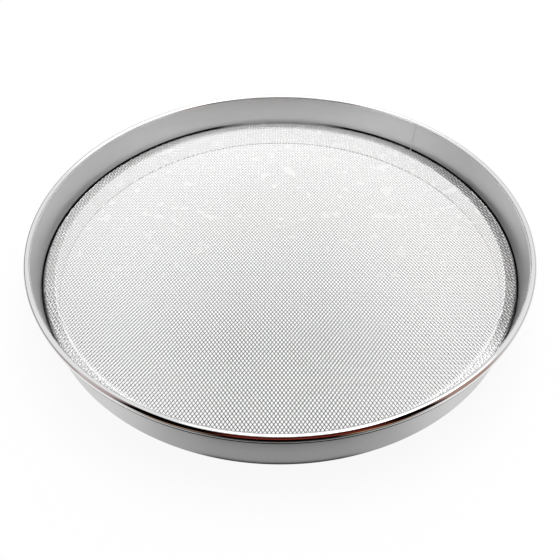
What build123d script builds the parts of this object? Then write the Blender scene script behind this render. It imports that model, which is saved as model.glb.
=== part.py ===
from build123d import *

import math
import os

# Drum sieve: a thin steel hoop, a stretched wire cloth and the ring that traps it. Millimetres.
# The foot stands on z = 0, and the drum's axis is +Z, out of the open mouth.

# Hoop: one strip of sheet, drawn in towards the foot
rim_diameter = 300.0
hoop_height = 36.0
hoop_sheet = 0.6
wall_draw_in = 4.3

# Rim: the strip's upper edge, curled outward and down to an oval section
rim_width = 3.6
rim_height = 8.4
rim_lip_bend = 1.2
rim_edge = 0.1
rim_edge_gap = 0.3

# Foot: the strip's lower edge, turned inward
foot_bend = 3.2
foot_width = 5.4

# Weld that closes the strip, proud of both faces of the wall
seam_bearing = 48.6
seam_width = 1.0
seam_rise = 0.12

# Clamp ring: a folded channel, open downward, that stands in the foot's bend and carries the cloth
ring_sheet = 0.6
ring_width = 5.8
ring_bend = 0.7
ring_height = 13.8
ring_inner_leg = 12.6
ring_hem = 2.0
ring_seat_play = 0.1

# Cloth: a net across the ring, with a margin turned down between ring and hoop
cloth_thickness = 1.0
cloth_play = 0.15
cloth_margin = 5.5
net_pitch = 15.6
net_bar = 2.4
net_bearing = 45.0
smallest_gap_share = 0.12

# The wall's middle line leans by the draw and runs into the rim's crown
rim_radius = rim_diameter / 2
lean = math.atan2(wall_draw_in, hoop_height)
crown_bend = (rim_width - hoop_sheet) / 2
crown_x = rim_radius - hoop_sheet / 2 - crown_bend
crown_z = hoop_height - hoop_sheet / 2 - crown_bend
wall_top_x = crown_x - crown_bend * math.cos(lean)
wall_top_z = crown_z + crown_bend * math.sin(lean)
cloth_slot = cloth_thickness + 2 * cloth_play


def wall_middle(height):
    """Radius of the wall's middle line at a height above the foot."""
    return wall_top_x - (wall_top_z - height) * math.tan(lean)


def wall_inside(height):
    """Radius of the wall's inner face at a height above the foot."""
    return wall_middle(height) - hoop_sheet / 2 / math.cos(lean)


def wall_outside(height):
    """Radius of the wall's outer face at a height above the foot."""
    return wall_middle(height) + hoop_sheet / 2 / math.cos(lean)


def ring_outside(height):
    """Radius of the clamp ring's outer face, which follows the wall across the cloth's slot."""
    return wall_inside(height) - cloth_slot


def ring_seat():
    """Height at which the clamp ring's outer edge comes to rest in the foot's bend."""
    bend_inside = foot_bend - hoop_sheet / 2
    bend_z = hoop_sheet + bend_inside
    bend_x = wall_inside(bend_z) - bend_inside / math.cos(lean)
    overhang = ring_outside(hoop_sheet) - bend_x
    return bend_z - math.sqrt(bend_inside**2 - overhang**2) + ring_seat_play


ring_foot = ring_seat()
ring_top = ring_foot + ring_height
ring_shoulder = ring_outside(ring_top) - ring_width


def turned(path, sheet):
    """A sheet of even thickness that follows a path of radius and height, turned about the drum's axis."""
    return revolve(Plane.XZ * trace(path, sheet), Axis.Z)


def rim_curl():
    """Middle line of the rim: crown, long flank, lip, and the cut edge that stops short of the wall."""
    lean_degrees = math.degrees(lean)
    upward = (math.sin(lean), math.cos(lean))
    half_turn = 180
    quarter_turn = 90
    lip_level = hoop_height - rim_height + hoop_sheet / 2
    edge_end = wall_outside(lip_level) + rim_edge_gap
    flank_drop = crown_z - lip_level - rim_lip_bend
    flank_draw = crown_x + crown_bend - edge_end - rim_edge - rim_lip_bend
    flank_turn = 2 * math.atan2(flank_draw, flank_drop)
    flank_bend = rim_lip_bend + flank_drop / math.sin(flank_turn)
    flank_degrees = math.degrees(flank_turn)
    crown = JernArc((wall_top_x, wall_top_z), upward, crown_bend, lean_degrees - half_turn)
    flank = JernArc(crown @ 1, crown % 1, flank_bend, -flank_degrees)
    lip = JernArc(flank @ 1, flank % 1, rim_lip_bend, flank_degrees - quarter_turn)
    edge = Line(lip @ 1, (edge_end, lip_level))
    return [crown, flank, lip, edge]


def make_outer_hoop():
    """The drum: foot, leaning wall and curled rim from one strip, closed by the weld."""
    foot_level = hoop_sheet / 2
    wall = FilletPolyline(
        (wall_inside(0) - foot_width, foot_level),
        (wall_middle(foot_level), foot_level),
        (wall_top_x, wall_top_z),
        radius=foot_bend,
    )
    return turned(Curve() + [wall] + rim_curl(), hoop_sheet) + make_seam()


def make_seam():
    """The weld: a low bead up the straight of the wall, from the foot's bend to the rim's crown."""
    low = hoop_sheet + foot_bend
    line = Line((wall_middle(low), low), (wall_top_x, wall_top_z))
    spread = math.degrees(seam_width / rim_radius)
    bead = revolve(Plane.XZ * trace(line, hoop_sheet + 2 * seam_rise), Axis.Z, spread)
    return Rot(0, 0, seam_bearing - spread / 2) * bead


def make_clamp_ring():
    """The channel under the cloth: outer leg, flat top, shorter inner leg with its edge hemmed back."""
    half = ring_sheet / 2
    leg_inset = half / math.cos(lean)
    top_level = ring_top - half
    hem_level = ring_top - ring_inner_leg + half
    inner_leg = ring_shoulder + half
    path = FilletPolyline(
        (ring_outside(ring_foot) - leg_inset, ring_foot),
        (ring_outside(top_level) - leg_inset, top_level),
        (inner_leg, top_level),
        (inner_leg, hem_level),
        (inner_leg + ring_hem, hem_level),
        radius=ring_bend,
    )
    return turned(path, ring_sheet)


def net_gaps(open_radius):
    """Outlines of the square gaps of the net, those on the edge cut by the open circle."""
    side = net_pitch - net_bar
    reach = math.ceil(open_radius / net_pitch) + 1
    disc = Circle(open_radius)
    outlines = []
    for column in range(-reach, reach + 1):
        for row in range(-reach, reach + 1):
            place = Rot(0, 0, net_bearing) * Pos(column * net_pitch, row * net_pitch)
            square = place * Rectangle(side, side)
            middle_radius = math.hypot(column * net_pitch, row * net_pitch)
            half_diagonal = side / math.sqrt(2)
            if middle_radius + half_diagonal <= open_radius:
                outlines.append(square.face().outer_wire())
                continue
            if middle_radius - half_diagonal >= open_radius:
                continue
            cut = square & disc
            if cut is None:
                continue
            for face in cut.faces():
                if face.area >= smallest_gap_share * side * side:
                    outlines.append(face.outer_wire())
    return outlines


def make_sieve_cloth():
    """The cloth: net, plain band on the ring's top, bend, and margin down the slot."""
    half = cloth_thickness / 2
    level = ring_top + half
    skirt_inset = cloth_play + half / math.cos(lean)
    skirt_end = ring_top - cloth_margin
    path = FilletPolyline(
        (ring_shoulder, level),
        (wall_inside(level) - skirt_inset, level),
        (wall_inside(skirt_end) - skirt_inset, skirt_end),
        radius=ring_bend + ring_sheet / 2 + half,
    )
    band = turned(path, cloth_thickness)
    gaps = net_gaps(ring_shoulder - net_bar / 2)
    print(f"net gaps: {len(gaps)}")
    net = Face(Wire.make_circle(ring_shoulder), gaps)
    return band + extrude(Pos(0, 0, ring_top) * net, cloth_thickness, dir=(0, 0, 1))


nodes = {
    "outer_hoop": make_outer_hoop(),
    "clamp_ring": make_clamp_ring(),
    "sieve_cloth": make_sieve_cloth(),
}

os.makedirs("parts", exist_ok=True)
for name, solid in nodes.items():
    solid.label = name
    export_step(solid, f"parts/{name}.step")
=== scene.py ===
import math

import bpy
import numpy as np
from bpy.props import FloatProperty, FloatVectorProperty, IntProperty, PointerProperty
from mathutils import Euler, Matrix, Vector


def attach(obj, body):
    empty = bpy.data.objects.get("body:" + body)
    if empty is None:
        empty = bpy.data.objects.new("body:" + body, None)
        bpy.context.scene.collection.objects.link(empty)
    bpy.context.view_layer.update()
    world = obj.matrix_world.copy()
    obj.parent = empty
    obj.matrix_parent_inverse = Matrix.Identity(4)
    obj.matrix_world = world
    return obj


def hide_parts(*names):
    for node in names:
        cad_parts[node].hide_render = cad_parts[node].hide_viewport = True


bl_info = {
    "name": "Drum Sieve",
    "version": (1, 0, 0),
    "blender": (4, 5, 0),
    "location": "View3D > Sidebar > Sieve",
    "description": "Lathes a thin steel drum, weaves its wire cloth and lights it on white",
    "category": "Add Mesh",
}

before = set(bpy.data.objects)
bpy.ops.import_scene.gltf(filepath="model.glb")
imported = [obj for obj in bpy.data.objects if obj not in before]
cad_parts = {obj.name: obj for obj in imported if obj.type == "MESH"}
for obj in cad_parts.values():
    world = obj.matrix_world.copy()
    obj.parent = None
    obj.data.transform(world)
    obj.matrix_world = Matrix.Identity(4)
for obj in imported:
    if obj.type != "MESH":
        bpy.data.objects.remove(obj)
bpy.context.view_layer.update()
BODY = "root"
MM = 0.001

# Width and height in pixels of the picture that the camera was fitted to
PHOTO_WIDTH = 560
# More wires than either family has, and the bands that each family is split into
WIRE_LIMIT = 400
CLOTH_BANDS = 4
# Longest run of a lathed outline before it is divided
LONGEST_RUN = 3 * MM
# Share of the floor that is its own white, and the share of light that its paint gives back
FLOOR_GLOW = 0.9
FLOOR_PAINT = 0.9
# Strength of the surroundings as seen, and as light on matt surfaces
WORLD_SEEN = 1.0
WORLD_LIGHT = 0.75
# How far a face of the rim looks down before the painted shade under the lip covers it
LIP_TURN = -0.22


def linear(code):
    """An sRGB hex code as the linear colour with alpha that a shader takes."""
    shares = [int(code[place:place + 2], 16) / 255 for place in (1, 3, 5)]
    return (*[s / 12.92 if s <= 0.04045 else ((s + 0.055) / 1.055) ** 2.4 for s in shares], 1.0)


def length(name, description, millimetres):
    """A length property with its default given in millimetres."""
    return FloatProperty(name=name, description=description, default=millimetres * MM,
                         min=0.0, precision=5, subtype="DISTANCE", unit="LENGTH")


def colour(name, description, code):
    """A colour property with its default given as an sRGB hex code."""
    return FloatVectorProperty(name=name, description=description, default=linear(code),
                               size=4, min=0.0, max=1.0, subtype="COLOR")


class SieveSizes(bpy.types.PropertyGroup):
    """Sizes of the hoop, the clamp ring and the cloth."""

    rim_diameter: length("Rim diameter", "Across the rim, outside", 300)
    hoop_height: length("Hoop height", "From the foot to the top of the rim", 36)
    sheet: length("Sheet", "Thickness of the hoop and the ring", 0.6)
    draw_in: length("Draw in", "How much smaller the wall's radius is at the foot", 4.3)
    rim_width: length("Rim width", "Across the curled rim", 3.6)
    rim_height: length("Rim height", "From the top of the rim to its lip", 8.4)
    lip_bend: length("Lip bend", "Bend under the rim", 1.2)
    rim_edge: length("Rim edge", "Flat end of the rim, past its lip", 0.1)
    edge_gap: length("Edge gap", "From the rim's cut edge to the wall", 0.3)
    foot_bend: length("Foot bend", "Bend between wall and foot", 3.2)
    foot_width: length("Foot width", "How far the foot turns in", 5.4)
    seam_bearing: FloatProperty(name="Seam bearing", description="Where the weld stands, from +X",
                                default=math.radians(48.6), subtype="ANGLE", unit="ROTATION")
    seam_width: length("Seam width", "Width of the weld bead", 1.0)
    seam_rise: length("Seam rise", "How far the weld stands out of the wall", 0.12)
    seam_ripple: length("Seam ripple", "Spacing of the ripples along the weld", 0.5)
    ring_width: length("Ring width", "Across the clamp ring's flat top", 5.8)
    ring_bend: length("Ring bend", "Bends of the clamp ring", 0.7)
    ring_height: length("Ring height", "Height of the clamp ring's outer leg", 13.8)
    # Longer than the source's leg, so that no dark gap under it shows through the cloth
    ring_inner_leg: length("Ring inner leg", "Height of the clamp ring's inner leg", 14.15)
    ring_hem: length("Ring hem", "Hem under the inner leg", 2.0)
    ring_play: length("Ring play", "From the ring's leg to the foot's bend", 0.1)
    cloth_slot: length("Cloth slot", "From the ring's leg to the wall", 1.3)
    wire: length("Wire", "Diameter of the cloth's wire", 0.38)
    pitch: length("Pitch", "From one wire of the cloth to the next", 1.75)
    bias: FloatProperty(name="Bias", description="How far either family of wires turns from +X",
                        default=math.radians(57), subtype="ANGLE", unit="ROTATION")
    margin: length("Margin", "How far the cloth goes down its slot", 5.5)
    wander: length("Wander", "How far a wire lies from its even place", 0.03)
    # The joint's depth and rise bound the painted shade on the wall, where the cloth meets it
    joint_depth: length("Joint depth", "Dull steel of the wall below the ring's top", 1.2)
    joint_rise: length("Joint rise", "Dull steel of the wall above the ring's top", 1.1)
    turns: IntProperty(name="Turns", description="Steps of the lathe round the drum",
                       default=540, min=36)


class SieveColours(bpy.types.PropertyGroup):
    """Colours of the finishes and of the stage."""

    wall: colour("Wall", "Brushed steel of the wall", "#C6C6C6")
    rim: colour("Rim", "Polished steel of the rim", "#E2E2E2")
    ring: colour("Ring", "Bright steel of the clamp ring's legs", "#FCFCFC")
    ledge: colour("Ledge", "Mill-finish steel of the ring's top, under the cloth", "#D8D8D8")
    # Painted shade: the ledge's colour where the cloth shades it, on the right
    ledge_painted_shade: colour("Dark ledge", "The same where it is stained, on the right", "#8C8C8C")
    # Painted shade: near black, it stands for the shade in the crevices at the joint and under the lip
    crevice_shade: colour("Paste", "Polishing paste left in the joint and under the lip", "#1C1C1C")
    # Painted light and painted shade on the wire, set by family and by place
    wire_painted_light: colour("Light wire", "Drawn wire where it is brightest, at the back", "#FAFAFA")
    wire_painted_shade: colour("Dark wire", "Drawn wire where it is darkest, in front", "#3A3A3A")
    floor: colour("Floor", "Floor and backdrop", "#FFFFFF")
    card_black: colour("Black card", "Darkest part of the cards in front", "#040101")
    card_brown: colour("Brown card", "Red-brown part of the cards in front", "#7A3226")
    card_dark: colour("Dark card", "Dark red upper part of the cards in front", "#4A0C04")
    card_tan: colour("Tan card", "Tan part of the cards in front", "#D8A882")
    card_grey: colour("Grey card", "Grey cards at the foot and low behind the sides", "#4C4C4C")
    card_pale: colour("Pale card", "Pale card at the foot, which greys the wall in front", "#B6B6B6")


def sizes():
    """The sizes of the scene."""
    return bpy.context.scene.sieve_sizes


def colours():
    """The colours of the scene."""
    return bpy.context.scene.sieve_colours


class Drum:
    """Lines of the drum in radius and height that more than one piece follows."""

    def __init__(self):
        s = sizes()
        self.half = s.sheet / 2
        self.lean = math.atan2(s.draw_in, s.hoop_height)
        self.crown_bend = (s.rim_width - s.sheet) / 2
        self.crown = (s.rim_diameter / 2 - self.half - self.crown_bend,
                      s.hoop_height - self.half - self.crown_bend)
        self.wall_top = (self.crown[0] - self.crown_bend * math.cos(self.lean),
                         self.crown[1] + self.crown_bend * math.sin(self.lean))
        bend_inside = s.foot_bend - self.half
        bend_z = s.sheet + bend_inside
        bend_x = self.wall_inside(bend_z) - bend_inside / math.cos(self.lean)
        overhang = self.ring_outside(s.sheet) - bend_x
        self.ring_foot = bend_z - math.sqrt(bend_inside**2 - overhang**2) + s.ring_play
        self.ring_top = self.ring_foot + s.ring_height
        self.ring_shoulder = self.ring_outside(self.ring_top) - s.ring_width

    def joint(self):
        """Heights on the wall between which it carries painted shade, where the cloth meets it."""
        return self.ring_top - sizes().joint_depth, self.ring_top + sizes().joint_rise

    def wall_middle(self, height):
        """Radius of the wall's middle line at a height."""
        return self.wall_top[0] - (self.wall_top[1] - height) * math.tan(self.lean)

    def wall_inside(self, height):
        """Radius of the wall's inner face at a height."""
        return self.wall_middle(height) - self.half / math.cos(self.lean)

    def wall_outside(self, height):
        """Radius of the wall's outer face at a height."""
        return self.wall_middle(height) + self.half / math.cos(self.lean)

    def ring_outside(self, height):
        """Radius of the clamp ring's outer face at a height."""
        return self.wall_inside(height) - sizes().cloth_slot


def arc(centre, radius, start, end, steps):
    """Points of an arc between two angles."""
    angles = np.linspace(start, end, steps + 1)
    return np.stack([centre[0] + radius * np.cos(angles), centre[1] + radius * np.sin(angles)], 1)


def filleted(corners, radius, steps=10):
    """Points along a bent line: its ends, and an arc at each corner between them."""
    corners = np.array(corners, float)
    points = [corners[:1]]
    for before, corner, after in zip(corners, corners[1:], corners[2:]):
        back = (before - corner) / np.linalg.norm(before - corner)
        ahead = (after - corner) / np.linalg.norm(after - corner)
        half_angle = math.acos(float(back @ ahead)) / 2
        middle = (back + ahead) / np.linalg.norm(back + ahead)
        centre = corner + middle * radius / math.sin(half_angle)
        tangents = [corner + leg * radius / math.tan(half_angle) - centre for leg in (back, ahead)]
        start, end = (math.atan2(t[1], t[0]) for t in tangents)
        sweep = (end - start + math.pi) % (2 * math.pi) - math.pi
        points.append(arc(centre, radius, start, start + sweep, steps))
    points.append(corners[-1:])
    return np.concatenate(points)


def normals_of(points):
    """Unit normals to the left of a line's points."""
    ahead = np.gradient(points, axis=0)
    ahead /= np.linalg.norm(ahead, axis=1)[:, None]
    return np.stack([-ahead[:, 1], ahead[:, 0]], 1)


def divided(points, longest):
    """The same line with its long runs divided, so that no step is over a length."""
    rows = [points[:1]]
    for start, end in zip(points, points[1:]):
        steps = max(1, math.ceil(np.linalg.norm(end - start) / longest))
        shares = np.linspace(0, 1, steps + 1)[1:, None]
        rows.append(start + (end - start) * shares)
    return np.concatenate(rows)


def sheet_outline(middle, thickness):
    """Closed outline of a sheet whose middle line is given."""
    normals = normals_of(middle)
    left = middle + normals * thickness / 2
    right = middle - normals * thickness / 2
    return np.concatenate([left, right[::-1]])


def new_piece(name, verts, faces, slot, *materials):
    """A mesh object that rides on the sieve's body and has its materials; the slot that it is given is not
    used.
    """
    mesh = bpy.data.meshes.new(name)
    mesh.from_pydata(verts.tolist(), [], faces.tolist() if hasattr(faces, "tolist") else faces)
    mesh.validate()
    piece = bpy.data.objects.new(name, mesh)
    bpy.context.scene.collection.objects.link(piece)
    for material in materials:
        mesh.materials.append(material)
    mesh.shade_smooth()
    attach(piece, BODY)
    return piece


def lathed(name, outline, slot, *materials):
    """A closed outline of radius and height turned about the drum's axis, with a map in metres of sheet."""
    turns = sizes().turns
    rows = len(outline)
    angles = np.linspace(0, 2 * math.pi, turns, endpoint=False)
    radius = outline[:, 0]
    x = np.outer(np.cos(angles), radius)
    y = np.outer(np.sin(angles), radius)
    z = np.broadcast_to(outline[:, 1], x.shape)
    verts = np.stack([x, y, z], -1).reshape(-1, 3)
    turn, row = np.meshgrid(np.arange(turns), np.arange(rows), indexing="ij")
    next_turn = (turn + 1) % turns
    next_row = (row + 1) % rows
    faces = np.stack([turn * rows + row, turn * rows + next_row, next_turn * rows + next_row,
                      next_turn * rows + row], -1).reshape(-1, 4)
    piece = new_piece(name, verts, faces, slot, *materials)
    along = np.concatenate([[0], np.cumsum(np.linalg.norm(np.diff(outline, axis=0), axis=1))])
    closing = along[-1] + np.linalg.norm(outline[0] - outline[-1])
    upper = np.concatenate([along[1:], [closing]])
    around = angles * radius.max()
    step = 2 * math.pi / turns * radius.max()
    u = np.stack([around[turn], around[turn], around[turn] + step, around[turn] + step], -1)
    v = np.stack([along[row], upper[row], upper[row], along[row]], -1)
    sheet_map = piece.data.uv_layers.new(name="sheet")
    sheet_map.data.foreach_set("uv", np.stack([u, v], -1).reshape(-1).astype(np.float32))
    piece.data.set_sharp_from_angle(angle=math.radians(40))
    return piece


def add_node(tree, kind, links=(), **settings):
    """A shader node with its settings, its constant inputs and its links."""
    node = tree.nodes.new(kind)
    for key, value in settings.items():
        if key == "inputs":
            for socket, constant in value.items():
                node.inputs[socket].default_value = constant
        else:
            setattr(node, key, value)
    for source, socket in links:
        tree.links.new(source, node.inputs[socket])
    return node


def new_material(name):
    """An empty node material and its tree."""
    material = bpy.data.materials.new(name)
    material.use_nodes = True
    tree = material.node_tree
    tree.nodes.clear()
    return material, tree


def grain(tree, across, along):
    """Noise drawn out along the sheet: grain of a width across and a length along the drum."""
    place = add_node(tree, "ShaderNodeUVMap", uv_map="sheet")
    stretch = add_node(tree, "ShaderNodeMapping", [(place.outputs["UV"], "Vector")],
                       inputs={"Scale": (1 / along, 1 / across, 1.0)})
    return add_node(tree, "ShaderNodeTexNoise", [(stretch.outputs["Vector"], "Vector")],
                    inputs={"Scale": 1.0, "Detail": 2.0, "Roughness": 0.6})


def varied(tree, source, low, high):
    """A value that follows a pattern between two levels."""
    return add_node(tree, "ShaderNodeMapRange", [(source.outputs["Fac"], "Value")],
                    inputs={"From Min": 0.3, "From Max": 0.7, "To Min": low, "To Max": high})


def shaded(tint, share):
    """A colour at a share of its brightness."""
    return (*[channel * share for channel in tint[:3]], 1.0)


def toned(tree, source, tint, dark_share):
    """A colour that a pattern takes down to a share of its brightness."""
    return add_node(tree, "ShaderNodeMix", [(source.outputs["Fac"], "Factor")], data_type="RGBA",
                    inputs={"A": shaded(tint, dark_share), "B": tint})


def by_place(tree, axis, start, end):
    """A share that runs from 0 to 1 between two places along an axis of the sieve."""
    place = add_node(tree, "ShaderNodeTexCoord")
    parts = add_node(tree, "ShaderNodeSeparateXYZ", [(place.outputs["Object"], "Vector")])
    return add_node(tree, "ShaderNodeMapRange", [(parts.outputs[axis], "Value")],
                    inputs={"From Min": start, "From Max": end, "To Min": 0.0, "To Max": 1.0})


def two_toned(tree, source, share, low, high, dark_share):
    """A colour that goes from one tint to another by a share, and is taken down by a pattern."""
    tint = add_node(tree, "ShaderNodeMix", [(share.outputs[0], "Factor")], data_type="RGBA",
                    inputs={"A": low, "B": high})
    shade = add_node(tree, "ShaderNodeMix", [(source.outputs["Fac"], "Factor")], data_type="RGBA",
                     inputs={"A": shaded((1, 1, 1), dark_share), "B": (1, 1, 1, 1)})
    return add_node(tree, "ShaderNodeMix", [(tint.outputs["Result"], "A"), (shade.outputs["Result"], "B")],
                    data_type="RGBA", blend_type="MULTIPLY", inputs={"Factor": 1.0})


def steel(name, tint, roughness, spread, grain_across, grain_along, relief, dark_share):
    """Steel with grain drawn out along the sheet, in its colour, its roughness and its relief."""
    material, tree = new_material(name)
    pattern = grain(tree, grain_across, grain_along)
    tone = toned(tree, pattern, tint, dark_share)
    rough = varied(tree, pattern, roughness - spread, roughness + spread)
    bump = add_node(tree, "ShaderNodeBump", [(pattern.outputs["Fac"], "Height")],
                    inputs={"Strength": 1.0, "Distance": relief})
    shader = add_node(tree, "ShaderNodeBsdfPrincipled",
                      [(tone.outputs["Result"], "Base Color"), (rough.outputs["Result"], "Roughness"),
                       (bump.outputs["Normal"], "Normal")],
                      inputs={"Metallic": 1.0})
    add_node(tree, "ShaderNodeOutputMaterial", [(shader.outputs["BSDF"], "Surface")])
    return material


def brushed_wall_steel():
    """Stainless sheet, belt-polished along the strip: a satin grey that blurs what it mirrors."""
    return steel("stainless_sheet_brushed", tuple(colours().wall), roughness=0.28, spread=0.004,
                 grain_across=0.5 * MM, grain_along=90 * MM, relief=0.00001 * MM, dark_share=0.99)


def painted_crevice_shade(name, beyond, start, end, front=None):
    """Painted crevice shade, matt and nearly black, that gives way to steel between two places along Y.

    With a front pair of places it also gives way between those, towards the front.
    """
    material, tree = new_material(name)
    pattern = grain(tree, 0.5 * MM, 20 * MM)
    share = by_place(tree, "Y", start, end)
    if front is not None:
        ahead = by_place(tree, "Y", *front)
        share = add_node(tree, "ShaderNodeMath", [(share.outputs[0], 0), (ahead.outputs[0], 1)],
                         operation="MAXIMUM")
    tone = two_toned(tree, pattern, share, tuple(colours().crevice_shade), beyond, 0.85)
    rough = add_node(tree, "ShaderNodeMapRange", [(share.outputs[0], "Value")],
                     inputs={"To Min": 0.9, "To Max": 0.3})
    shader = add_node(tree, "ShaderNodeBsdfPrincipled",
                      [(tone.outputs["Result"], "Base Color"), (rough.outputs["Result"], "Roughness"),
                       (share.outputs[0], "Metallic")],
                      inputs={"Specular IOR Level": 0.0})
    add_node(tree, "ShaderNodeOutputMaterial", [(shader.outputs["BSDF"], "Surface")])
    return material


def joint_painted_shade():
    """Painted shade where the cloth meets the wall: a thin dark line, fainter at the back and in front."""
    return painted_crevice_shade("painted_shade_joint", tuple(colours().wall), start=136 * MM, end=142 * MM,
                   front=(-55 * MM, -85 * MM))


def lip_painted_shade():
    """Painted shade under the curl in front: a thin dark line between rim and wall."""
    return painted_crevice_shade("painted_shade_lip", tuple(colours().rim), start=-115 * MM, end=-80 * MM)


def polished_rim_steel():
    """Stainless sheet burnished by the curling roller: a near mirror with sharp bright and black bands."""
    return steel("stainless_rim_burnished", tuple(colours().rim), roughness=0.09, spread=0.02,
                 grain_across=0.6 * MM, grain_along=60 * MM, relief=0.0003 * MM, dark_share=0.97)


def bright_ring_steel():
    """Stainless strip, bright-annealed: smooth legs that mirror the white below the cloth."""
    return steel("stainless_strip_bright", tuple(colours().ring), roughness=0.10, spread=0.03,
                 grain_across=0.8 * MM, grain_along=40 * MM, relief=0.0004 * MM, dark_share=0.95)


def mill_ledge_steel():
    """The strip's folded top, left as rolled: matt and pale, with painted shade along the right."""
    material, tree = new_material("stainless_strip_mill")
    pattern = grain(tree, 0.8 * MM, 12 * MM)
    left = by_place(tree, "X", 100 * MM, 60 * MM)
    back = by_place(tree, "Y", 70 * MM, 110 * MM)
    front = by_place(tree, "Y", -60 * MM, -85 * MM)
    ends = add_node(tree, "ShaderNodeMath", [(front.outputs["Result"], 0), (back.outputs["Result"], 1)],
                    operation="MAXIMUM")
    unshaded = add_node(tree, "ShaderNodeMath", [(left.outputs["Result"], 0), (ends.outputs[0], 1)],
                     operation="MAXIMUM")
    # Painted shade on the ledge along the right, none at the back and in front
    tone = two_toned(tree, pattern, unshaded, tuple(colours().ledge_painted_shade), tuple(colours().ledge), 0.8)
    rough = varied(tree, pattern, 0.37, 0.47)
    shader = add_node(tree, "ShaderNodeBsdfPrincipled",
                      [(tone.outputs["Result"], "Base Color"), (rough.outputs["Result"], "Roughness")],
                      inputs={"Metallic": 1.0})
    add_node(tree, "ShaderNodeOutputMaterial", [(shader.outputs["BSDF"], "Surface")])
    return material


def drawn_wire_steel(name, side):
    """Stainless wire drawn through a die: smooth, with painted light at the back and painted shade towards
    the front.

    The family that runs up to the right is painted darkest in front on the left, and the other on the right,
    so that the eye finds one set of fine dark lines on either side and diamonds between them. Over the ring
    it is the other way round, except at the back and in front, where all are light. This painted shade stands
    in for how each family of wires catches the light.
    """
    material, tree = new_material(name)
    place = add_node(tree, "ShaderNodeTexCoord")
    cloud = add_node(tree, "ShaderNodeTexNoise", [(place.outputs["Object"], "Vector")],
                     inputs={"Scale": 1 / (9 * MM), "Detail": 2.0, "Roughness": 0.5})
    forward = by_place(tree, "Y", 120 * MM, -80 * MM)
    aside = by_place(tree, "X", side * 95 * MM, side * 25 * MM)
    level = add_node(tree, "ShaderNodeMapRange", [(aside.outputs["Result"], "Value")],
                     inputs={"To Min": 0.25, "To Max": 1.0})
    inward = add_node(tree, "ShaderNodeMath", [(forward.outputs["Result"], 0), (level.outputs["Result"], 1)],
                      operation="MULTIPLY")
    out = add_node(tree, "ShaderNodeVectorMath", [(place.outputs["Object"], 0)], operation="LENGTH")
    over = add_node(tree, "ShaderNodeMapRange", [(out.outputs["Value"], "Value")],
                    inputs={"From Min": 136 * MM, "From Max": 138 * MM})
    across = by_place(tree, "X", -side * 20 * MM, side * 20 * MM)
    ahead = by_place(tree, "Y", 125 * MM, 95 * MM)
    aft = by_place(tree, "Y", -85 * MM, -60 * MM)
    beside = add_node(tree, "ShaderNodeMath", [(ahead.outputs["Result"], 0), (aft.outputs["Result"], 1)],
                      operation="MULTIPLY")
    partly = add_node(tree, "ShaderNodeMapRange", [(beside.outputs[0], "Value")], inputs={"To Max": 0.7})
    outward = add_node(tree, "ShaderNodeMath", [(across.outputs["Result"], 0), (partly.outputs["Result"], 1)],
                       operation="MULTIPLY")
    # Share of painted shade on each wire, by family and place
    share = add_node(tree, "ShaderNodeMix", [(over.outputs["Result"], "Factor"), (inward.outputs[0], "A"),
                                             (outward.outputs[0], "B")], data_type="FLOAT")
    tone = two_toned(tree, cloud, share, tuple(colours().wire_painted_light), tuple(colours().wire_painted_shade), 0.96)
    rough = varied(tree, cloud, 0.23, 0.28)
    shader = add_node(tree, "ShaderNodeBsdfPrincipled",
                      [(tone.outputs["Result"], "Base Color"), (rough.outputs["Result"], "Roughness")],
                      inputs={"Metallic": 1.0})
    add_node(tree, "ShaderNodeOutputMaterial", [(shader.outputs["BSDF"], "Surface")])
    return material


def weld_steel():
    """Weld metal ground back with the sheet: a narrow line, paler and less glossy than the wall."""
    material, tree = new_material("stainless_weld_ground")
    tint = shaded(tuple(colours().wall), 1.1)
    place = add_node(tree, "ShaderNodeTexCoord")
    pits = add_node(tree, "ShaderNodeTexNoise", [(place.outputs["Object"], "Vector")],
                    inputs={"Scale": 1 / (0.4 * MM), "Detail": 1.0, "Roughness": 0.5})
    tone = toned(tree, pits, tint, 0.9)
    rough = varied(tree, pits, 0.3, 0.42)
    shader = add_node(tree, "ShaderNodeBsdfPrincipled",
                      [(tone.outputs["Result"], "Base Color"), (rough.outputs["Result"], "Roughness")],
                      inputs={"Metallic": 1.0})
    add_node(tree, "ShaderNodeOutputMaterial", [(shader.outputs["BSDF"], "Surface")])
    return material


def hoop_middle(drum):
    """Middle line of the hoop's sheet, from the foot's edge to the rim's cut edge."""
    s = sizes()
    foot_and_wall = filleted([
        (drum.wall_inside(0) - s.foot_width, drum.half),
        (drum.wall_middle(drum.half), drum.half),
        drum.wall_top,
    ], s.foot_bend, steps=16)
    lip_level = s.hoop_height - s.rim_height + drum.half
    marks = np.array([[drum.wall_middle(z), z] for z in drum.joint()])
    foot_and_wall = np.concatenate([foot_and_wall[:-1], marks, foot_and_wall[-1:]])
    edge_end = drum.wall_outside(lip_level) + s.edge_gap
    flank_drop = drum.crown[1] - lip_level - s.lip_bend
    flank_draw = drum.crown[0] + drum.crown_bend - edge_end - s.rim_edge - s.lip_bend
    flank_turn = 2 * math.atan2(flank_draw, flank_drop)
    flank_bend = s.lip_bend + flank_drop / math.sin(flank_turn)
    crown = arc(drum.crown, drum.crown_bend, math.pi - drum.lean, 0, 32)
    flank_centre = (drum.crown[0] + drum.crown_bend - flank_bend, drum.crown[1])
    flank = arc(flank_centre, flank_bend, 0, -flank_turn, 12)
    lip_centre = flank[-1] - s.lip_bend * np.array([math.cos(flank_turn), -math.sin(flank_turn)])
    lip = arc(lip_centre, s.lip_bend, -flank_turn, -math.pi / 2, 12)
    edge = np.array([[edge_end, lip_level]])
    return divided(np.concatenate([foot_and_wall, crown[1:], flank[1:], lip[1:], edge]), LONGEST_RUN)


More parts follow.
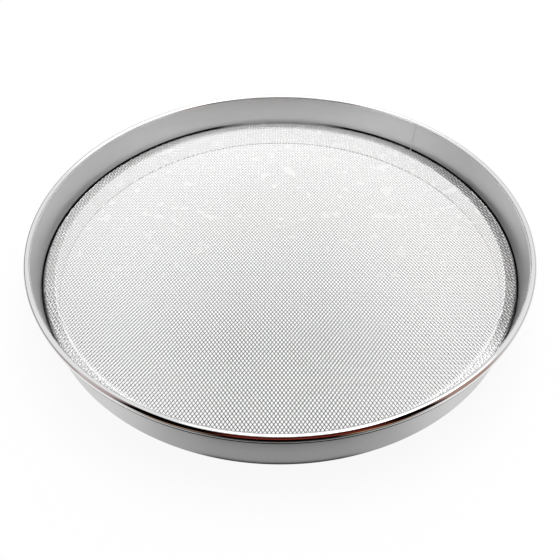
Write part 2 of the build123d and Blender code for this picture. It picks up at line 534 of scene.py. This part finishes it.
def make_hoop():
    """The drum: foot, leaning wall and curled rim of one sheet, with a burnished rim."""
    s = sizes()
    drum = Drum()
    hoop = lathed("hoop", sheet_outline(hoop_middle(drum), s.sheet), "hoop_steel", brushed_wall_steel(),
                  polished_rim_steel(), joint_painted_shade(), bright_ring_steel(), lip_painted_shade())
    rim, joint, foot, lip = 1, 2, 3, 4
    foot_edge = drum.ring_shoulder + 4 * s.sheet
    joint_low, joint_high = drum.joint()
    rim_start = drum.wall_top[1] - 2 * drum.crown_bend * math.sin(drum.lean)
    flank_start = rim_start - s.rim_height
    # Faces of the foot's edge, which show through the cloth, are as bright as the ring's legs: painted light,
    # so that the shade between the ring's hem and the foot shows no dark line through the cloth
    for face in hoop.data.polygons:
        height = face.center.z
        reach = math.hypot(face.center.x, face.center.y)
        on_flank = height > flank_start and reach > drum.wall_outside(height) + s.edge_gap / 2
        # Faces of the lip that look down far enough carry painted shade: the dark line between rim and wall
        if on_flank and face.normal.z < LIP_TURN:
            face.material_index = lip
        elif height > rim_start or on_flank:
            face.material_index = rim
        elif reach < foot_edge:
            face.material_index = foot
        # The wall's inner faces at the joint carry painted shade: a dark line in the crevice by the cloth
        elif reach < drum.wall_middle(height) and joint_low < height < joint_high:
            face.material_index = joint
    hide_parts("outer_hoop")


def make_weld():
    """The weld that closes the hoop: a low rippled bead on both faces of the wall."""
    s = sizes()
    drum = Drum()
    low = s.sheet + s.foot_bend
    high = drum.wall_top[1]
    rows_per_ripple = 4
    ripple_depth = 0.12
    rows = rows_per_ripple * math.ceil((high - low) / s.seam_ripple)
    heights = np.linspace(low, high, rows + 1)
    across = np.linspace(-1, 1, 9)
    verts, faces = [], []
    for side, surface in ((-1, drum.wall_inside), (1, drum.wall_outside)):
        start = len(verts)
        columns = len(across) + 1
        for height in heights:
            ripple = 1 + ripple_depth * math.cos(2 * math.pi * (height - low) / s.seam_ripple)
            base = surface(height)
            for share in across:
                rise = s.seam_rise * ripple * (1 - share**2)
                angle = s.seam_bearing + share * s.seam_width / 2 / base
                radius = base + side * rise
                verts.append((radius * math.cos(angle), radius * math.sin(angle), height))
            inner = base - side * drum.half / 2
            verts.append((inner * math.cos(s.seam_bearing), inner * math.sin(s.seam_bearing), height))
        for row in range(rows):
            for column in range(columns):
                a = start + row * columns + column
                b = start + row * columns + (column + 1) % columns
                quad = (a, b, b + columns, a + columns)
                faces.append(quad if side < 0 else quad[::-1])
        first = list(range(start, start + columns))
        last = [v + rows * columns for v in first]
        faces.append(tuple(first[::-1] if side < 0 else first))
        faces.append(tuple(last if side < 0 else last[::-1]))
    new_piece("weld", np.array(verts), faces, "hoop_steel", weld_steel())


def make_clamp_ring():
    """The folded channel that carries the cloth and traps its margin."""
    s = sizes()
    drum = Drum()
    inset = drum.half / math.cos(drum.lean)
    top_level = drum.ring_top - drum.half
    hem_level = drum.ring_top - s.ring_inner_leg + drum.half
    inner_leg = drum.ring_shoulder + drum.half
    middle = filleted([
        (drum.ring_outside(drum.ring_foot) - inset, drum.ring_foot),
        (drum.ring_outside(top_level) - inset, top_level),
        (inner_leg, top_level),
        (inner_leg, hem_level),
        (inner_leg + s.ring_hem, hem_level),
    ], s.ring_bend)
    outline = sheet_outline(divided(middle, LONGEST_RUN), s.sheet)
    ring = lathed("channel_ring", outline, "ring_steel", bright_ring_steel(), mill_ledge_steel())
    ledge = 1
    for face in ring.data.polygons:
        if face.center.z > drum.ring_top - s.sheet:
            face.material_index = ledge
    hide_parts("clamp_ring")


class ClothShape:
    """How the flat cloth lies in the drum: level, over the ring's shoulder and down its slot."""

    def __init__(self):
        s = sizes()
        drum = Drum()
        half = s.wire
        level = drum.ring_top + half
        skirt_inset = s.cloth_slot / 2
        skirt_end = drum.ring_top - s.margin
        line = filleted([
            (0, level),
            (drum.wall_inside(level) - skirt_inset, level),
            (drum.wall_inside(skirt_end) - skirt_inset, skirt_end),
        ], s.ring_bend + s.sheet / 2 + half, steps=24)
        self.line = divided(line, 1 * MM)
        self.normals = normals_of(self.line)
        self.along = np.concatenate([[0], np.cumsum(np.linalg.norm(np.diff(self.line, axis=0), axis=1))])
        self.reach = self.along[-1]

    def draped(self, flat):
        """Points of the flat cloth, with a height over its middle, as they lie in the drum."""
        out = np.hypot(flat[:, 0], flat[:, 1])
        safe = np.maximum(out, 1e-9)
        radius, height, tilt, lift = (np.interp(out, self.along, row)
                                      for row in (*self.line.T, *self.normals.T))
        share = (radius + flat[:, 2] * tilt) / safe
        share = np.where(out < 1 * MM, 1.0, share)
        return np.stack([flat[:, 0] * share, flat[:, 1] * share, height + flat[:, 2] * lift], 1)


def wire_tubes(shape, bearing, other, lead, numbers, seed):
    """Tubes of one family of wires, which cross the other family's bearing and lead over or under it."""
    s = sizes()
    sides = 6
    ahead = np.array([math.cos(bearing), math.sin(bearing)])
    aside = np.array([-ahead[1], ahead[0]])
    other_aside = np.array([-math.sin(other), math.cos(other)])
    turn = float(ahead @ other_aside)
    slip = float(aside @ other_aside)
    draw = np.random.default_rng(seed)
    wander = draw.uniform(-s.wander, s.wander, 2 * WIRE_LIMIT)
    angles = np.linspace(0, 2 * math.pi, sides, endpoint=False)
    halves = np.arange(-2 * WIRE_LIMIT, 2 * WIRE_LIMIT + 1) / 2
    verts, quads, start = [], [], 0
    for number in numbers:
        offset = (number + 0.5) * s.pitch
        half_length = math.sqrt(shape.reach**2 - offset**2)
        u = ((halves + 0.5) * s.pitch - offset * slip) / turn
        inside = np.abs(u) <= half_length
        u = u[inside]
        crimp = lead * s.wire / 2 * (-1) ** number * np.cos(math.pi * halves[inside])
        across = offset + wander[number + WIRE_LIMIT] + s.wire / 2 * np.cos(angles)
        xy = u[:, None, None] * ahead + across[None, :, None] * aside
        z = crimp[:, None] + s.wire / 2 * np.sin(angles)[None, :]
        verts.append(np.concatenate([xy, z[:, :, None]], 2).reshape(-1, 3))
        count = len(u)
        row, side = np.meshgrid(np.arange(count - 1), np.arange(sides), indexing="ij")
        following = (side + 1) % sides
        first, second = start + row * sides, start + (row + 1) * sides
        tube = np.stack([first + side, second + side, second + following, first + following], -1)
        quads.append(tube.reshape(-1, 4))
        caps = start + np.array([[0, 1, 2, 3], [3, 4, 5, 0]])
        quads.append(caps)
        quads.append(caps[:, ::-1] + (count - 1) * sides)
        start += count * sides
    return shape.draped(np.concatenate(verts)), np.concatenate(quads)


def make_cloth():
    """The woven cloth, every wire over and under the next, in bands of warp and bands of weft.

    A real cloth of this kind is finer than the camera can see. It is drawn as coarse as it needs to show, and
    its two families cross at the slant of the lines that the eye finds in it.
    """
    s = sizes()
    shape = ClothShape()
    reach = math.ceil(shape.reach / s.pitch) + 1
    numbers = [n for n in range(-reach, reach) if abs((n + 0.5) * s.pitch) < shape.reach - s.pitch]
    for family, side, seed in (("warp", -1, 7), ("weft", 1, 11)):
        material = drawn_wire_steel(f"stainless_{family}_drawn", side)
        for band, members in enumerate(np.array_split(numbers, CLOTH_BANDS), start=1):
            verts, quads = wire_tubes(shape, side * s.bias, -side * s.bias, side,
                                      [int(member) for member in members], seed)
            wires = new_piece(f"{family}_wires_{band}", verts, quads, "cloth_steel", material)
            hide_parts("sieve_cloth")


def ray_mixed(tree, seen, unseen):
    """One shader for camera, glossy and transmission rays and another for the rest."""
    path = add_node(tree, "ShaderNodeLightPath")
    first = add_node(tree, "ShaderNodeMath", [(path.outputs["Is Camera Ray"], 0),
                                              (path.outputs["Is Glossy Ray"], 1)], operation="MAXIMUM")
    both = add_node(tree, "ShaderNodeMath", [(first.outputs[0], 0),
                                             (path.outputs["Is Transmission Ray"], 1)], operation="MAXIMUM")
    return add_node(tree, "ShaderNodeMixShader", [(both.outputs[0], 0), (unseen, 1), (seen, 2)])


def make_floor():
    """White floor: mostly its own white, with enough shading left to keep the sieve's soft shadow."""
    material, tree = new_material("painted_backdrop_matt")
    tint = tuple(colours().floor)
    paint = add_node(tree, "ShaderNodeBsdfDiffuse", inputs={"Color": shaded(tint, FLOOR_PAINT)})
    glow = add_node(tree, "ShaderNodeEmission", inputs={"Color": tint, "Strength": 1.0})
    pale = add_node(tree, "ShaderNodeMixShader", [(paint.outputs[0], 1), (glow.outputs[0], 2)],
                    inputs={0: FLOOR_GLOW})
    mixed = ray_mixed(tree, pale.outputs[0], paint.outputs[0])
    add_node(tree, "ShaderNodeOutputMaterial", [(mixed.outputs[0], "Surface")])
    half = 4.0
    mesh = bpy.data.meshes.new("floor")
    corners = [(-half, -half, 0), (half, -half, 0), (half, half, 0), (-half, half, 0)]
    mesh.from_pydata(corners, [], [(0, 1, 2, 3)])
    mesh.materials.append(material)
    floor = bpy.data.objects.new("floor", mesh)
    bpy.context.scene.collection.objects.link(floor)


def share_at(stops, place):
    """The share at a place between stops of (place, share)."""
    return float(np.interp(place, *zip(*stops)))


def tint_at(stops, place):
    """The colour at a place between stops of (place, colour)."""
    places = [stop[0] for stop in stops]
    return [float(np.interp(place, places, channel)) for channel in zip(*(stop[1][:3] for stop in stops))]


def mixed_tint(first, second, share):
    """A colour that goes from a first to a second by a share."""
    return [a * (1 - share) + b * share for a, b in zip(first, second)]


def make_card(name, rows, columns, point, tone):
    """A curved card of graded paper that shows only in what the steel mirrors."""
    verts = [point(row, column) for row in rows for column in columns]
    width = len(columns)
    faces = [(r * width + c, r * width + c + 1, (r + 1) * width + c + 1, (r + 1) * width + c)
             for r in range(len(rows) - 1) for c in range(width - 1)]
    mesh = bpy.data.meshes.new(name)
    mesh.from_pydata(verts, [], faces)
    tones = mesh.color_attributes.new("tone", "FLOAT_COLOR", "POINT")
    values = np.array([tone(row, column) for row in rows for column in columns])
    tones.data.foreach_set("color", values.reshape(-1))
    material, tree = new_material(name + "_paper")
    paint = add_node(tree, "ShaderNodeAttribute", attribute_name="tone")
    glow = add_node(tree, "ShaderNodeEmission", [(paint.outputs["Color"], "Color")])
    clear = add_node(tree, "ShaderNodeBsdfTransparent")
    mixed = add_node(tree, "ShaderNodeMixShader",
                     [(paint.outputs["Alpha"], 0), (clear.outputs[0], 1), (glow.outputs[0], 2)])
    add_node(tree, "ShaderNodeOutputMaterial", [(mixed.outputs[0], "Surface")])
    mesh.materials.append(material)
    card = bpy.data.objects.new(name, mesh)
    bpy.context.scene.collection.objects.link(card)
    card.visible_camera = False
    card.visible_diffuse = False
    card.visible_transmission = False
    card.visible_shadow = False


def around_front(radius, degrees, height):
    """A point at a radius and height, some degrees round from the front."""
    angle = math.radians(degrees)
    return (radius * math.sin(angle), -radius * math.cos(angle), height)


def blackened(degrees):
    """How far the cards in front are blackened, some degrees round from the front."""
    return share_at([(-43, 0), (-38, 1), (-16, 1), (-10, 0), (20, 0), (28, 1), (38, 1), (43, 0)], degrees)


def make_standing_card():
    """The upright card in front, which gives the rim its dark and warm bands."""
    c = colours()
    black, brown, dark, tan = (tuple(row) for row in (c.card_black, c.card_brown, c.card_dark, c.card_tan))
    warm = mixed_tint(brown[:3], tan[:3], 0.3)
    stand = 0.21
    lean_start, lean_rate = 0.07, 60
    warm_turn = 40
    heights = [(0.000, black), (0.015, black), (0.024, brown), (0.050, brown), (0.070, dark), (0.150, dark)]
    top_fade = [(0.150, 1), (0.200, 0)]
    side_fade = [(-68, 0), (-60, 0.2), (-50, 0.45), (-43, 0.6), (-38, 1),
                 (38, 1), (43, 0.8), (54, 0.78), (60, 0.3), (68, 0)]
    shrink = [(24, 1), (32, 0.7)]

    def tone(height, degrees):
        upright = degrees - math.copysign(lean_rate * max(0, height - lean_start), degrees)
        scaled = height * share_at(shrink, abs(upright))
        tint = tint_at(heights, scaled)
        if abs(upright) > warm_turn:
            tint = brown if degrees < 0 else warm
        cover = share_at(top_fade, scaled) * share_at(side_fade, upright)
        return (*mixed_tint(tint[:3], black, blackened(upright)), cover)

    make_card("card_standing", list(np.linspace(0, 0.29, 59)), list(np.linspace(-80, 80, 65)),
              lambda height, degrees: around_front(stand, degrees, height), tone)


def make_lying_card():
    """The card that lies at the foot in front, which greys the wall there and warms the rim's lower edge."""
    c = colours()
    black, tan, grey, pale = (tuple(row) for row in (c.card_black, c.card_tan, c.card_grey, c.card_pale))
    level = 0.0006
    shade = shaded(grey, 0.3)
    middle = [(0.1385, shade), (0.1443, shade), (0.1450, pale), (0.154, pale), (0.157, grey),
              (0.160, grey), (0.164, black), (0.21, black)]
    beside = [(0.1385, pale), (0.154, pale), (0.159, grey), (0.168, grey), (0.176, tan), (0.21, tan)]
    inner_fade = [(0, 1), (14, 0.95), (24, 0.7), (33, 0.22), (40, 0)]
    outer_fade = [(30, 1), (38, 0)]
    rings = [0.1385, 0.1443, 0.1450, 0.15, 0.154, 0.157, 0.160, 0.162, 0.164, 0.168, 0.172, 0.176,
             0.185, 0.195, 0.21]

    def tone(radius, degrees):
        turn = abs(degrees)
        outward = share_at([(0.162, 0), (0.168, 1)], radius)
        cover = share_at(inner_fade, turn) * (1 - outward) + share_at(outer_fade, turn) * outward
        aside = share_at([(13, 0), (19, 1)], turn)
        tint = mixed_tint(tint_at(middle, radius), tint_at(beside, radius), aside)
        sooty = blackened(degrees) * share_at([(0.180, 0), (0.190, 1)], radius)
        return (*mixed_tint(tint, black, sooty), cover)

    make_card("card_lying", rings, list(np.linspace(-80, 80, 65)),
              lambda radius, degrees: around_front(radius, degrees, level), tone)


def make_low_card(name, start, end, cover):
    """A low grey card far to one side, which takes the white off the wall across from it."""
    grey = tuple(colours().card_grey)[:3]
    stand = 0.6
    top_fade = [(0.16, 1), (0.26, 0)]
    make_card(name, list(np.linspace(0, 0.26, 14)), list(np.linspace(start, end, 40)),
              lambda height, degrees: around_front(stand, degrees, height),
              lambda height, degrees: (*grey, share_at(top_fade, height) * cover))


def make_cards():
    """Cards round the sieve, which show only in what its steel mirrors."""
    make_standing_card()
    make_lying_card()
    make_low_card("card_low_right", 70, 165, cover=0.4)
    make_low_card("card_low_left", -165, -70, cover=0.8)


def make_world():
    """White surroundings that the camera and the steel see, and plain soft light for the rest."""
    world = bpy.data.worlds.new("studio")
    bpy.context.scene.world = world
    world.use_nodes = True
    tree = world.node_tree
    tree.nodes.clear()
    seen = add_node(tree, "ShaderNodeBackground", inputs={"Color": (1, 1, 1, 1), "Strength": WORLD_SEEN})
    light = add_node(tree, "ShaderNodeBackground", inputs={"Color": (1, 1, 1, 1), "Strength": WORLD_LIGHT})
    mixed = ray_mixed(tree, seen.outputs[0], light.outputs[0])
    add_node(tree, "ShaderNodeOutputWorld", [(mixed.outputs[0], "Surface")])


def make_lamp(name, place, size, power):
    """A square area lamp that shines on the middle of the sieve."""
    data = bpy.data.lights.new(name, "AREA")
    data.shape = "SQUARE"
    data.size = size
    data.energy = power
    lamp = bpy.data.objects.new(name, data)
    lamp.location = place
    lamp.rotation_mode = "QUATERNION"
    lamp.rotation_quaternion = (-Vector(place)).to_track_quat("-Z", "Y")
    bpy.context.scene.collection.objects.link(lamp)


def make_camera():
    """The photograph's view: distance, height, tilt and focal length, as fitted to the rim and the foot."""
    s = sizes()
    distance = 2.8703 * s.rim_diameter / 2
    height_angle = math.radians(40.334)
    tilt_down = math.radians(44.86)
    focal_pixels = 713.5
    data = bpy.data.cameras.new("camera")
    data.sensor_width = 36
    data.lens = data.sensor_width * focal_pixels / PHOTO_WIDTH
    data.clip_start = 0.01
    camera = bpy.data.objects.new("camera", data)
    camera.location = (0, -distance * math.cos(height_angle),
                       s.hoop_height + distance * math.sin(height_angle))
    camera.rotation_euler = Euler((math.pi / 2 - tilt_down, 0, 0))
    bpy.context.scene.collection.objects.link(camera)
    bpy.context.scene.camera = camera


def make_stage():
    """Floor, cards, surroundings, lamp and camera."""
    make_floor()
    make_cards()
    make_world()
    make_lamp("lamp_top", place=(0.2, 0.35, 1.3), size=0.9, power=9)
    make_camera()
    bpy.context.scene.view_settings.view_transform = "Standard"


class SIEVE_OT_hoop(bpy.types.Operator):
    """Lathe the steel drum with its curled rim"""

    bl_idname = "sieve.hoop"
    bl_label = "Make Hoop"

    def execute(self, context):
        make_hoop()
        make_weld()
        return {"FINISHED"}


class SIEVE_OT_clamp_ring(bpy.types.Operator):
    """Lathe the folded ring under the cloth"""

    bl_idname = "sieve.clamp_ring"
    bl_label = "Make Clamp Ring"

    def execute(self, context):
        make_clamp_ring()
        return {"FINISHED"}


class SIEVE_OT_cloth(bpy.types.Operator):
    """Weave the wire cloth"""

    bl_idname = "sieve.cloth"
    bl_label = "Weave Cloth"

    def execute(self, context):
        make_cloth()
        return {"FINISHED"}


class SIEVE_OT_stage(bpy.types.Operator):
    """Set out floor, cards, light and camera"""

    bl_idname = "sieve.stage"
    bl_label = "Set Stage"

    def execute(self, context):
        make_stage()
        return {"FINISHED"}


class SIEVE_PT_panel(bpy.types.Panel):
    """Sizes, colours and makers of the sieve"""

    bl_label = "Drum Sieve"
    bl_idname = "SIEVE_PT_panel"
    bl_space_type = "VIEW_3D"
    bl_region_type = "UI"
    bl_category = "Sieve"

    def draw(self, context):
        for operator in STEPS:
            self.layout.operator(operator.bl_idname)
        for group in (context.scene.sieve_sizes, context.scene.sieve_colours):
            for name in group.__annotations__:
                self.layout.prop(group, name)


STEPS = (SIEVE_OT_hoop, SIEVE_OT_clamp_ring, SIEVE_OT_cloth, SIEVE_OT_stage)
CLASSES = (SieveSizes, SieveColours, *STEPS, SIEVE_PT_panel)


def register():
    """Add the sieve's classes and its settings."""
    for kind in CLASSES:
        bpy.utils.register_class(kind)
    bpy.types.Scene.sieve_sizes = PointerProperty(type=SieveSizes)
    bpy.types.Scene.sieve_colours = PointerProperty(type=SieveColours)


def unregister():
    """Take the sieve's classes and settings away."""
    del bpy.types.Scene.sieve_colours
    del bpy.types.Scene.sieve_sizes
    for kind in reversed(CLASSES):
        bpy.utils.unregister_class(kind)


def main():
    """Make the pieces and the stage in order."""
    register()
    bpy.ops.sieve.hoop()
    bpy.ops.sieve.clamp_ring()
    bpy.ops.sieve.cloth()
    bpy.ops.sieve.stage()


if __name__ == "__main__":
    main()
